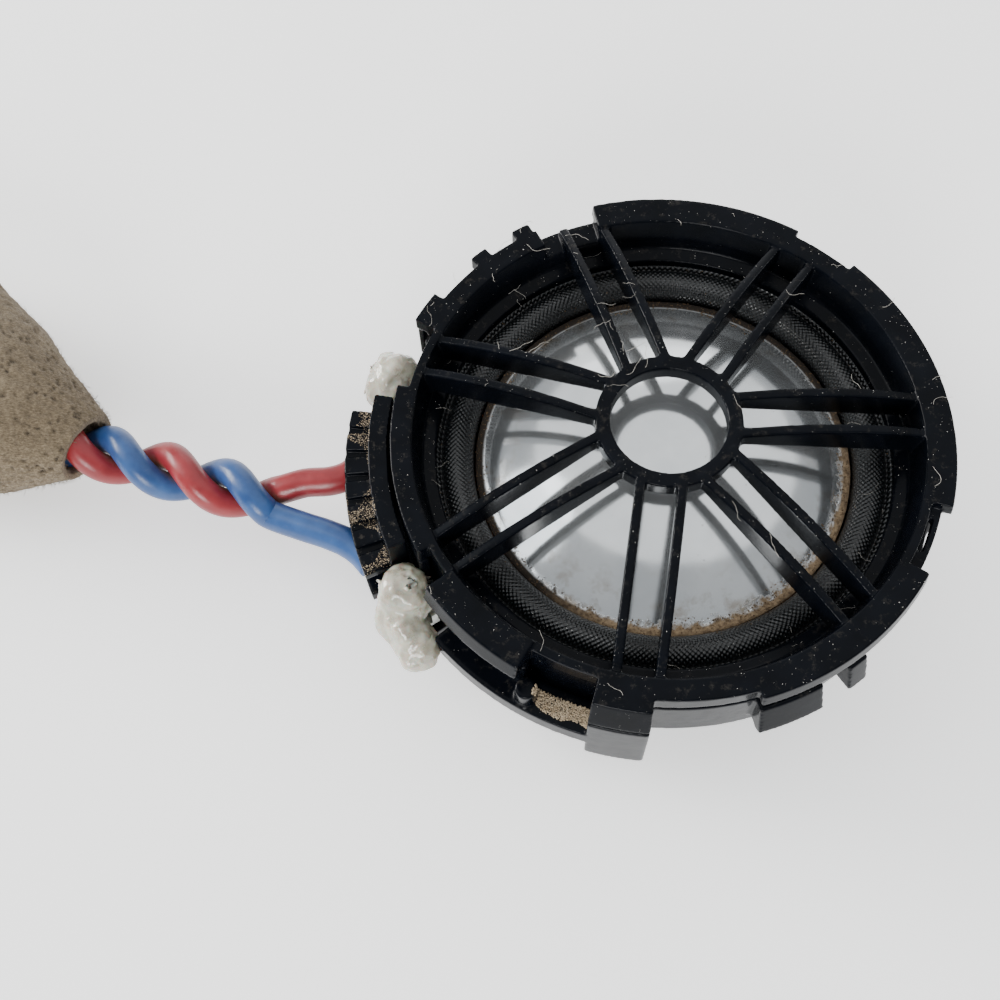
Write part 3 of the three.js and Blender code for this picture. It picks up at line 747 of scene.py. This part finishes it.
def spoke_outline(end_r):
    stations = 22
    start_r = HUB_HOLE_R + 0.4
    top, bottom = [], []
    for i in range(stations + 1):
        r = start_r + (end_r - start_r) * i / stations
        along = max(0.0, (r - HUB_R) / (RIM_IN_R - HUB_R))
        top.append((r, HUB_TOP + SPOKE_PROUD - 2.35 * along ** 2.3))
        bottom.append((r, HUB_TOP - 1.4 - 3.3 * along))
    return bottom + top[::-1]


def front_grille():
    shape = Shape()
    skirt = [(17.9, SKIRT_LOW), (NOTCH_R, SKIRT_LOW), (NOTCH_R, RIM_LOW),
             (19.25, RIM_LOW), (19, 11.1), (17.9, 10.8)]
    shape.sector(skirt, 0, 360)
    rim = [(19.2, RIM_LOW - 0.1), (NOTCH_R + 0.15, RIM_LOW - 0.1),
           (NOTCH_R + 0.15, RIM_TOP), (RIM_IN_R, RIM_TOP)]
    shape.sector(rim, 113.5, 459.6)
    for start, end in RIM_STRETCHES:
        shape.block(NOTCH_R - 0.2, RIM_R, start, end, RIM_LOW, RIM_TOP)
    for start, end in ((RECESS[0], SLOT[0]), (SLOT[1], RECESS[1])):
        shape.block(NOTCH_R - 0.2, RIM_R, start, end, RIM_LOW, RIM_TOP - RECESS_DEPTH)
    shape.block(20.8, RIM_R, *RECESS, RIM_LOW, RIM_TOP - RECESS_DEPTH)
    shape.block(19.3, RIM_R, 99, 114, RIM_LOW - 0.1, RIM_LOW + 0.3)
    for start, end in LUGS:
        shape.drafted(20.4, LUG_R + 0.1, 0.2, start, end, RIM_TOP - 1.4, RIM_TOP)
    shape.drafted(NOTCH_R - 0.4, 22.6, 0.4, 210.8, 234.5, RIM_TOP - 1.4, RIM_TOP + 0.4)
    shape.drafted(NOTCH_R, SMALL_LUG_R, 0.9, *LEG, RIM_TOP - 2.4, RIM_TOP)
    for start, end in NIBS:
        shape.block(20.8, 22.2, start, end, RIM_TOP - 1.4, RIM_TOP)
    shape.block(RIM_R + 0.3, 22.2, 140.6, 147.6, 8.6, RIM_TOP - 1)
    shape.block(HUB_HOLE_R, HUB_R, 0, 360, HUB_TOP - 1.5, HUB_TOP)
    for pair in range(SPOKE_PAIRS):
        for side in (-1, 1):
            outline = spoke_outline(20.9 if pair == 2 and side > 0 else 19.9)
            shape.prism(outline, 2 * SPOKE_HALF, pair * 360 / SPOKE_PAIRS, side * SPOKE_OFFSET)
    piece = shape.melted("grille_moulding")
    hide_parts("front_grille")
    return wear(piece, BLACK)


# ---- rear housing ----
WALL_IN_R = 20.5
WALL_LOW = 6.7
SEAT_IN_R = 17.1                                   # the seat's and the motor collar's inner radius
WALL_TOP = RIM_LOW - 0.3
WALL_STRETCHES = [(-110.7, -34), (-22, 149), (163.5, 203.7), (210.5, 234.7)]


def rear_housing():
    shape = Shape()
    for start, end in WALL_STRETCHES:
        shape.block(WALL_IN_R, RIM_R, start, end, WALL_LOW, WALL_TOP)
    shape.block(WALL_IN_R, RIM_R, 0, 360, WALL_LOW, FLANGE_TOP)
    shape.block(SEAT_IN_R, WALL_IN_R + 0.2, 0, 360, 7, 8.3)
    shape.block(SEAT_IN_R, 18.2, 0, 360, 3, 8)
    shape.block(21, 23.2, 215, LEG[0] + 0.5, 6.5, FLANGE_TOP)
    shape.block(21, SMALL_LUG_R, *LEG, TRAY_LOW, 11.3)
    shape.block(17.6, 21.2, *LEG, 5.6, 7.2)
    shape.sector([(21, 8.3), (22.7, 8.3), (23.1, 9), (22.2, WALL_TOP), (21, WALL_TOP)], -79, -66)
    shape.sector([(21, 8.8), (23, 8.8), (22.2, WALL_TOP), (21, WALL_TOP)], -60, -55.5)
    shape.block(17.8, 25.2, CLAMP[0] - 1.5, CLAMP[1], TRAY_LOW, TRAY_TOP)
    shape.block(17.8, 24.2, 152, 212, TRAY_LOW, TRAY_TOP)
    shape.column(polar(22.1, 236.2, FLANGE_TOP - 0.3), 0.85, 2.3)
    piece = shape.melted("housing_moulding", 0.13, 6)
    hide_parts("rear_housing")
    return wear(piece, BLACK)


def wire_clamp():
    shape = Shape()
    shape.block(RIM_R + 0.3, 23.1, *CLAMP, 9.2, 12.9)
    shape.block(22.6, 25.3, *CLAMP, 8.6, 9.5)
    for start in (CLAMP[0], CLAMP[1] - 1.7):
        shape.block(RIM_R + 0.3, 22.05, start, start + 1.7, TRAY_TOP + 0.3, 9.4)
    ribs = 7
    for i in range(ribs):
        middle = CLAMP[0] + 2 + i * (CLAMP[1] - CLAMP[0] - 4) / (ribs - 1)
        shape.sector([(23, 9.3), (25.3, 9.3), (25.3, 9.85), (23, 10.05)], middle - 1.7, middle + 1.7, 0.8)
    piece = shape.melted("clamp_moulding", 0.1, 5)
    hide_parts("wire_clamp")
    return wear(piece, WORN_BLACK)


# ---- dome and surround ----
SPHERE_R = (DOME_R ** 2 + DOME_RISE ** 2) / (2 * DOME_RISE)


def dome_height(r):
    return DOME_TOP - SPHERE_R + math.sqrt(SPHERE_R ** 2 - r * r)


def dome():
    stations = 36
    radii = [DOME_R * i / stations for i in range(stations + 1)]
    top = [(r, dome_height(r)) for r in radii]
    lip = [(DOME_R + 0.25, DOME_EDGE - 0.05), (LIP_R - 0.05, DOME_EDGE), (LIP_R - 0.05, LIP_LOW + 0.05)]
    bottom = [(r, dome_height(r) - 0.22) for r in radii[::-1]]
    piece = turned("dome_shell", (top + lip + bottom)[::-1], 220, "dome")
    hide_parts("dome_diaphragm")
    return wear(piece, DOME)


def arc_profile(centre_r, centre_z, radius, start, end, steps):
    return [(centre_r + radius * math.cos(rad(start + (end - start) * i / steps)),
             centre_z + radius * math.sin(rad(start + (end - start) * i / steps))) for i in range(steps + 1)]


def surround():
    """Half-roll, a groove, a small second fold and the glued flange, one closed skin."""
    foot = DOME_EDGE - 0.4
    top = [(15.0, foot), (15.0, DOME_EDGE + 0.2)]
    top += arc_profile(16.3, DOME_EDGE + 0.2, 1.3, 175, 12, 26)
    top += arc_profile(18.05, DOME_EDGE + 0.5, 0.4, 160, 20, 9)
    top += [(18.7, 9.7), (19.9, 9.7)]
    bottom = [(19.9, 9.45), (17.7, 9.3)]
    bottom += arc_profile(16.3, DOME_EDGE + 0.2, 1.05, 12, 175, 22)
    bottom += [(15.22, foot)]
    piece = turned("surround_roll", (top + bottom)[::-1], 720)
    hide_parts("surround")
    return wear(piece, TEXTILE)


# ---- glue and motor ----
def glue_blob(name, angle, lumps):
    shape = Shape()
    for r, turn, z, a, b, c in lumps:
        shape.ball(polar(r, angle + turn, z), (a, b, c), angle + turn)
    piece = shape.melted(name + "_blob", 0.16, 5)
    mesh = piece.data
    for vertex in mesh.vertices:
        place = vertex.co / MM
        lump = 0.42 * noise.noise(place * 0.55) + 0.14 * noise.noise(place * 1.7)
        vertex.co += vertex.normal * lump * MM
    mesh.update()
    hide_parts(name)
    return wear(piece, GLUE)


def yoke():
    floor, inner = 1.6, YOKE_R - 1.8
    profile = [(0, YOKE_LOW), (YOKE_R - 0.5, YOKE_LOW), (YOKE_R - 0.15, YOKE_LOW + 0.12),
               (YOKE_R, YOKE_LOW + 0.45), (YOKE_R, YOKE_TOP - 0.2), (YOKE_R - 0.2, YOKE_TOP),
               (inner, YOKE_TOP), (inner, floor), (0, floor)]
    piece = turned("yoke_shell", profile, 160)
    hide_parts("yoke_cup")
    return wear(piece, STEEL)


# ---- dust, specks and lint ----
class Surface:
    """Random places on the up-facing parts of a piece."""

    def __init__(self, piece, keep, seed):
        mesh = piece.data
        self.rng = random.Random(seed)
        self.spots = []
        weights = []
        for face in mesh.polygons:
            centre = face.center / MM
            if face.normal.z > 0.35 and keep(centre):
                self.spots.append((centre, face.normal.copy(), math.sqrt(face.area) / MM))
                weights.append(face.area)
        self.weights = np.cumsum(weights)

    def pick(self):
        target = self.rng.random() * self.weights[-1]
        centre, normal, reach = self.spots[int(np.searchsorted(self.weights, target))]
        side = normal.orthogonal().normalized()
        over = normal.cross(side)
        shift = side * self.rng.uniform(-0.5, 0.5) + over * self.rng.uniform(-0.5, 0.5)
        return centre + shift * reach, normal


def grain(rng, centre, normal, size):
    """A small irregular lump: two uneven rings of five corners with flat ends."""
    side = normal.orthogonal().normalized()
    over = normal.cross(side)
    spin = rng.random() * TURN
    verts = []
    for level, reach in ((-0.25, 0.8), (0.45, 0.65)):
        for k in range(5):
            angle = spin + TURN * k / 5 + level
            push = reach * size * rng.uniform(0.6, 1.15)
            verts.append(centre + side * math.cos(angle) * push + over * math.sin(angle) * push
                         + normal * level * size)
    faces = [[k, (k + 1) % 5, 5 + (k + 1) % 5, 5 + k] for k in range(5)]
    faces += [[4, 3, 2, 1, 0], [5, 6, 7, 8, 9]]
    return verts, faces


def scatter(name, surface, count, sizes, material, body="housing", clump=None):
    shape = Shape()
    placed = 0
    tries = 0
    while placed < count and tries < count * 60:
        tries += 1
        centre, normal = surface.pick()
        if clump and noise.noise(centre * clump) < 0.08:
            continue
        size = sizes[0] + (sizes[1] - sizes[0]) * surface.rng.random() ** 3
        shape.add(*grain(surface.rng, centre, normal, size))
        placed += 1
    piece = new_object(name, to_metres(smooth_mesh(name, shape.verts, shape.faces)), body)
    return wear(piece, material)


def fibre(rng, start, heading, normal, length, radius):
    """One curled lint fibre that lies on the surface."""
    points = [start + normal * radius]
    steps = 7
    for _ in range(steps):
        heading = (heading + Vector((rng.uniform(-1, 1), rng.uniform(-1, 1), 0)) * 0.55).normalized()
        lift = normal * rng.uniform(-0.05, 0.09)
        points.append(points[-1] + heading * length / steps + lift)
    return swept(smooth_path(points, 3), radius, 5)


def lint(name, surface, count, material):
    shape = Shape()
    rng = surface.rng
    for _ in range(count):
        start, normal = surface.pick()
        angle = rng.random() * TURN
        heading = Vector((math.cos(angle), math.sin(angle), 0))
        shape.add(*fibre(rng, start, heading, normal, rng.uniform(0.4, 2.2), rng.uniform(0.009, 0.017)))
    piece = new_object(name, to_metres(smooth_mesh(name, shape.verts, shape.faces)))
    return wear(piece, material)


def felt_fuzz(felt):
    """Short loose fibres that stand off the felt and soften its outline."""
    rng = random.Random(11)
    shape = Shape()
    faces = felt.data.polygons
    for _ in range(6500):
        face = faces[rng.randrange(len(faces))]
        start = face.center / MM
        lean = (face.normal + Vector([rng.uniform(-1.3, 1.3) for _ in range(3)])).normalized()
        bend = Vector([rng.uniform(-0.5, 0.5) for _ in range(3)])
        length = rng.uniform(0.15, 0.45)
        path = [start + lean * length * t + bend * length * t * t for t in (0, 0.4, 0.75, 1)]
        shape.add(*swept(path, rng.uniform(0.008, 0.016), 3))
    piece = new_object("felt_fuzz", to_metres(smooth_mesh("felt_fuzz", shape.verts, shape.faces)))
    return wear(piece, FELT)


def angle_of(place):
    return math.degrees(math.atan2(place.y, place.x)) % 360


def flat_radius(place):
    return math.hypot(place.x, place.y)


def anywhere(_place):
    return True


def on_flange(place):
    """The stretch of flange between the post and the small lug."""
    outer = 22.75 - 0.5 * abs(noise.noise(place * 0.8)) - 0.05 * max(0.0, 243 - angle_of(place))
    between = 237.5 < angle_of(place) < 249.2
    return between and 21.2 < flat_radius(place) < outer and place.z > FLANGE_TOP - 0.2


def on_strip(place):
    return flat_radius(place) > 23


def on_dome_edge(place):
    """A ragged band by the glued edge, widest where the dome slopes down to the right and the front."""
    toward_front_right = (place.x * 0.48 - place.y * 0.87) / DOME_R
    width = 0.15 + 0.5 * max(0.0, toward_front_right) + 0.7 * noise.noise(place * 0.5)
    return flat_radius(place) > DOME_R - width


def on_dome(place):
    return flat_radius(place) < DOME_R


def on_roll_feet(place):
    """The two creases of the surround, at the dome and at the flange."""
    return flat_radius(place) < 15.6 or flat_radius(place) > 17.6


def on_far_side(place):
    """The upper left part of the grille, where most of the lint lies."""
    return 95 < angle_of(place) < 175


def add_dust(pieces):
    grille, housing, clamp, cap, roll = pieces
    scatter("specks_grille", Surface(grille, anywhere, 1), 620, (0.02, 0.065), PALE)
    scatter("specks_roll", Surface(roll, anywhere, 2), 420, (0.02, 0.055), PALE)
    scatter("grit_roll", Surface(roll, on_roll_feet, 3), 800, (0.03, 0.09), BROWN,
            clump=0.35)
    scatter("grit_dome", Surface(cap, on_dome_edge, 4), 3000, (0.03, 0.11), BROWN, "dome")
    scatter("specks_dome", Surface(cap, on_dome, 5), 150, (0.015, 0.04), BROWN, "dome")
    scatter("dust_flange", Surface(housing, on_flange, 6), 2600, (0.04, 0.12), TAN)
    scatter("dust_clamp", Surface(clamp, on_strip, 7), 1900, (0.02, 0.07), TAN, clump=0.55)
    lint("lint_far", Surface(grille, on_far_side, 8), 34, LINT)
    lint("lint_grille", Surface(grille, anywhere, 10), 26, LINT)
    lint("lint_roll", Surface(roll, anywhere, 9), 22, LINT)


# ---- floor and light ----
def add_floor():
    half = 3.0
    corners = [(-half, -half, 0), (half, -half, 0), (half, half, 0), (-half, half, 0)]
    mesh = smooth_mesh("floor", corners, [[0, 1, 2, 3]])
    floor = bpy.data.objects.new("floor", mesh)
    bpy.context.collection.objects.link(floor)
    floor.location.z = CAD_BOX[0][2] - 0.0001
    finish = Finish("floor_white", Roughness=0.9)
    finish.colour(finish.ramp(finish.noise(0.004, 3), (0.3, srgb(247, 247, 246)), (0.7, srgb(251, 251, 250))))
    finish.shader.inputs["Emission Color"].default_value = (1, 1, 1, 1)
    finish.shader.inputs["Emission Strength"].default_value = 0.68
    mesh.materials.append(finish.material)


def add_light(name, place, size, power, tint=(1, 1, 1)):
    data = bpy.data.lights.new(name, "AREA")
    data.shape = "DISK"
    data.size = size
    data.energy = power
    data.color = tint
    lamp = bpy.data.objects.new(name, data)
    bpy.context.collection.objects.link(lamp)
    lamp.location = place
    aim = Vector((-0.005, 0, 0.01))
    lamp.rotation_euler = (Vector(place) - aim).to_track_quat("Z", "Y").to_euler()


def add_lights():
    world = bpy.data.worlds.new("studio")
    bpy.context.scene.world = world
    world.use_nodes = True
    background = world.node_tree.nodes["Background"]
    background.inputs["Color"].default_value = (0.94, 0.97, 1.0, 1)
    background.inputs["Strength"].default_value = 0.54
    add_light("key", (-0.52, 0.22, 0.16), 0.3, 5.0, (1, 0.98, 0.95))
    add_light("front", (-0.2, -0.6, 0.3), 0.3, 4.0)
    add_light("ceiling", (0.07, 0.22, 0.5), 1.1, 2.3)
    add_light("window", (-0.42, 0.06, 0.42), 0.36, 0.7, (0.93, 0.97, 1))
    add_light("back", (0.05, 0.6, 0.2), 0.5, 0.7)
    add_light("side", (0.55, 0.1, 0.13), 0.2, 0.6, (0.95, 0.98, 1))


# ---- assembly ----
def build():
    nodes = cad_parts
    red = wire_path(math.pi / 2, PLUG_SIDE, [Vector(p) for p in RED_RUN])
    blue = wire_path(-math.pi / 2, -PLUG_SIDE, [Vector(p) for p in BLUE_RUN])
    red_wire = wire("red", red, blue, RED_PVC)
    blue_wire = wire("blue", blue, red, BLUE_PVC)
    shell = plug()
    felt = felt_wrap()
    felt_fuzz(felt)
    grille, housing, clamp = front_grille(), rear_housing(), wire_clamp()
    cap, roll = dome(), surround()
    yoke()
    glue_blob("glue_positive", 157, [(23, 0, 8.6, 2.2, 2.4, 2.8), (23.6, -1.5, 8, 1.9, 2.3, 2.2),
                                     (22.2, 2, 9.6, 1.2, 1.6, 1.4)])
    glue_blob("glue_negative", 208, [(23.1, -3, 8.8, 2.2, 2.3, 2.7), (24.2, 0, 7.8, 1.9, 2.3, 2.1),
                                     (24.3, 5, 7.3, 1.9, 2.2, 1.6)])
    add_dust((grille, housing, clamp, cap, roll))
    kept = {"surround_frame": (INNER_PLASTIC, "inner_plastic"), "voice_coil_former": (FILM, "former_film"),
            "voice_coil": (COPPER, "copper"), "damping_felt": (DAMPING, "damping_felt"),
            "pole_plate": (STEEL, "motor_steel"), "magnet": (NICKEL, "magnet_plating")}
    for sign in ("positive", "negative"):
        kept["terminal_" + sign] = (TIN, "tinned_metal")
        kept["solder_" + sign] = (TIN, "tinned_metal")
        kept["contact_" + sign] = (TIN, "tinned_metal")
        kept["coil_lead_" + sign] = (COPPER, "copper")
    for name, (material, slot) in kept.items():
        wear(nodes[name], material)


build()
add_floor()
add_lights()
